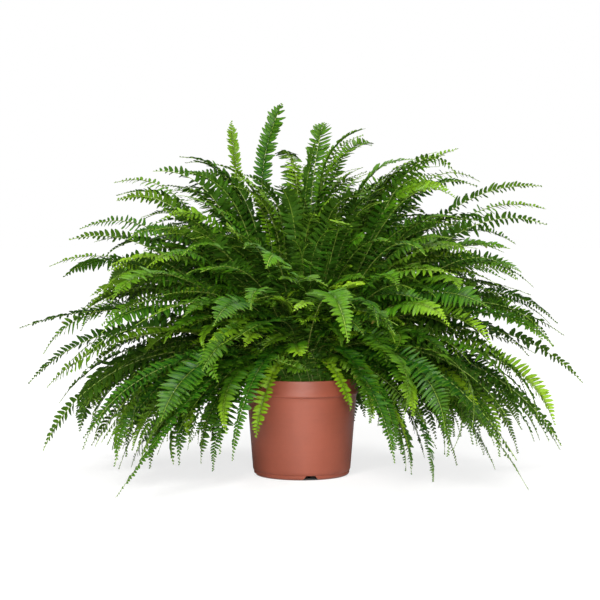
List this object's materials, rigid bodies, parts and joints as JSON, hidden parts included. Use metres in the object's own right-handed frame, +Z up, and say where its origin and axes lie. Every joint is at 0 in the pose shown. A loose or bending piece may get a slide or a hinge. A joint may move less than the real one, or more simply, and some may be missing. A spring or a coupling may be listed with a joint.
{
  "type": "potted fern",
  "caption": "Arching sword fern with long tapering fronds, rooted in a plain round nursery pot with a collar and a notched foot.",
  "frame": {"origin": "on the pot's axis, on the surface that the pot stands on", "axes": "+Z up along the pot's axis, +X to the right across the plant's widest spread, -Y to the front"},
  "size_m": [1.0197, 0.9108, 0.675],
  "materials": {
    "pot_plastic": "satin",
    "soil": "matte",
    "crown": "matte",
    "frond_mature": "satin",
    "frond_dark": "satin",
    "frond_young": "satin"
  },
  "bodies": {
    "root": {"pot": "pot_plastic", "soil": "soil", "crown": "crown", "upright_frond_01": "frond_mature", "upright_frond_02": "frond_mature", "upright_frond_03": "frond_mature", "upright_frond_04": "frond_mature", "upright_frond_05": "frond_mature", "upright_frond_06": "frond_mature", "upright_frond_07": "frond_mature", "upright_frond_08": "frond_mature", "upright_frond_09": "frond_mature", "arching_frond_01": "frond_mature", "arching_frond_02": "frond_mature", "arching_frond_03": "frond_mature", "arching_frond_04": "frond_mature", "arching_frond_05": "frond_mature", "arching_frond_06": "frond_mature", "arching_frond_07": "frond_mature", "arching_frond_08": "frond_mature", "arching_frond_09": "frond_mature", "arching_frond_10": "frond_mature", "arching_frond_11": "frond_mature", "arching_frond_12": "frond_mature", "arching_frond_13": "frond_mature", "arching_frond_14": "frond_mature", "arching_frond_15": "frond_mature", "arching_frond_16": "frond_mature", "arching_frond_17": "frond_mature", "arching_frond_18": "frond_mature", "arching_frond_19": "frond_mature", "arching_frond_20": "frond_mature", "arching_frond_21": "frond_mature", "arching_frond_22": "frond_mature", "arching_frond_23": "frond_mature", "trailing_frond_01": "frond_dark", "trailing_frond_02": "frond_dark", "trailing_frond_03": "frond_dark", "trailing_frond_04": "frond_dark", "trailing_frond_05": "frond_dark", "trailing_frond_06": "frond_dark", "trailing_frond_07": "frond_dark", "trailing_frond_08": "frond_dark", "trailing_frond_09": "frond_dark", "trailing_frond_10": "frond_dark", "trailing_frond_11": "frond_dark", "trailing_frond_12": "frond_dark", "trailing_frond_13": "frond_dark", "trailing_frond_14": "frond_dark", "trailing_frond_15": "frond_dark", "trailing_frond_16": "frond_dark", "trailing_frond_17": "frond_dark", "trailing_frond_18": "frond_dark", "trailing_frond_19": "frond_dark", "trailing_frond_20": "frond_dark", "trailing_frond_21": "frond_dark", "trailing_frond_22": "frond_dark", "young_frond_01": "frond_young", "young_frond_02": "frond_young", "young_frond_03": "frond_young"}
  },
  "joints": []
}
